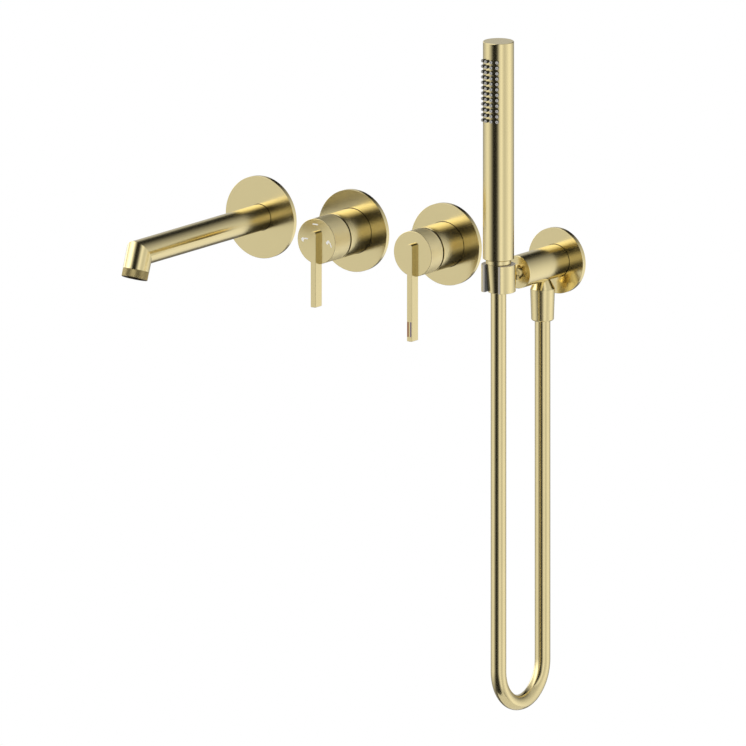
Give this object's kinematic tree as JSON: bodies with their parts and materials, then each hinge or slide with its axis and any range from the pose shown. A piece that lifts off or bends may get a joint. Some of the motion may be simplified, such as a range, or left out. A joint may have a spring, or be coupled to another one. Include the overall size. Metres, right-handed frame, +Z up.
{
  "type": "wall mounted bath faucet",
  "caption": "Wall mounted bath faucet with a long mitred spout, diverter and mixer levers on round plates, and a stick hand shower standing in a holder on its hose.",
  "frame": {"origin": "where the spout's axis meets the finished wall", "axes": "+X along the wall towards the hand shower, +Y into the wall, +Z up"},
  "size_m": [0.3921, 0.2392, 0.6194],
  "materials": {
    "satin_gold": "brushed satin",
    "raw_brass": "turned",
    "hose_gold": "smooth satin",
    "screw_steel": "satin",
    "seal_rubber": "matte",
    "silicone": "satin",
    "liner_plastic": "satin",
    "spray_plastic": "satin",
    "valve_plastic": "matte"
  },
  "bodies": {
    "root": {"spout_plate": "satin_gold", "spout_plate_gasket": "seal_rubber", "spout_plate_seal": "seal_rubber", "spout_nipple": "raw_brass", "spout_tube": "satin_gold", "aerator_ring": "satin_gold", "aerator_insert": "spray_plastic", "aerator_seal": "seal_rubber", "diverter_plate": "satin_gold", "diverter_plate_gasket": "seal_rubber", "diverter_plate_seal": "seal_rubber", "diverter_sleeve": "satin_gold", "diverter_glide_ring": "seal_rubber", "diverter_valve_body": "raw_brass", "diverter_cartridge": "valve_plastic", "diverter_retaining_nut": "raw_brass", "mixer_plate": "satin_gold", "mixer_plate_gasket": "seal_rubber", "mixer_plate_seal": "seal_rubber", "mixer_sleeve": "satin_gold", "mixer_glide_ring": "seal_rubber", "mixer_valve_body": "raw_brass", "mixer_cartridge": "valve_plastic", "mixer_retaining_nut": "raw_brass", "outlet_plate": "satin_gold", "outlet_plate_gasket": "seal_rubber", "outlet_plate_seal": "seal_rubber", "outlet_nipple": "raw_brass", "outlet_body": "satin_gold", "non_return_valve": "valve_plastic", "hose_outlet": "satin_gold", "hose_washer": "seal_rubber", "hose_nut": "satin_gold", "hose": "hose_gold", "holder_neck": "satin_gold", "holder_clip": "satin_gold", "clip_liner": "liner_plastic", "clip_screw": "screw_steel"},
    "diverter_handle": {"diverter_spindle": "raw_brass", "diverter_knob": "satin_gold", "diverter_lever": "satin_gold", "diverter_lever_screws": "screw_steel", "diverter_grub_screw": "screw_steel"},
    "mixer_handle": {"mixer_spindle": "raw_brass", "mixer_knob": "satin_gold", "mixer_lever": "satin_gold", "mixer_lever_screws": "screw_steel", "mixer_grub_screw": "screw_steel"},
    "handset_cone": {"handset_cone": "satin_gold", "handset_washer": "seal_rubber"},
    "handset": {"handset_body": "satin_gold", "handset_cap": "satin_gold", "handset_spigot": "raw_brass", "handset_inner_tube": "valve_plastic", "spray_carrier": "valve_plastic", "nozzle_strip": "silicone"}
  },
  "joints": [
    {"name": "diverter_turn", "type": "hinge", "parent": "root", "child": "diverter_handle", "pos_m": [0.1016, -0.045, 0], "axis": [0, -1, 0], "range_deg": [-90, 90]},
    {"name": "mixer_turn", "type": "hinge", "parent": "root", "child": "mixer_handle", "pos_m": [0.2032, -0.045, 0], "axis": [0, -1, 0], "range_deg": [-45, 45]},
    {"name": "handset_lift", "type": "slide", "parent": "root", "child": "handset_cone", "axis": [0, 0, 1], "range_m": [0, 0.03], "deforming": ["hose"]},
    {"name": "handset_spin", "type": "hinge", "parent": "handset_cone", "child": "handset", "pos_m": [0.32465, -0.0935, 0.02], "axis": [0, 0, 1], "continuous": true}
  ]
}
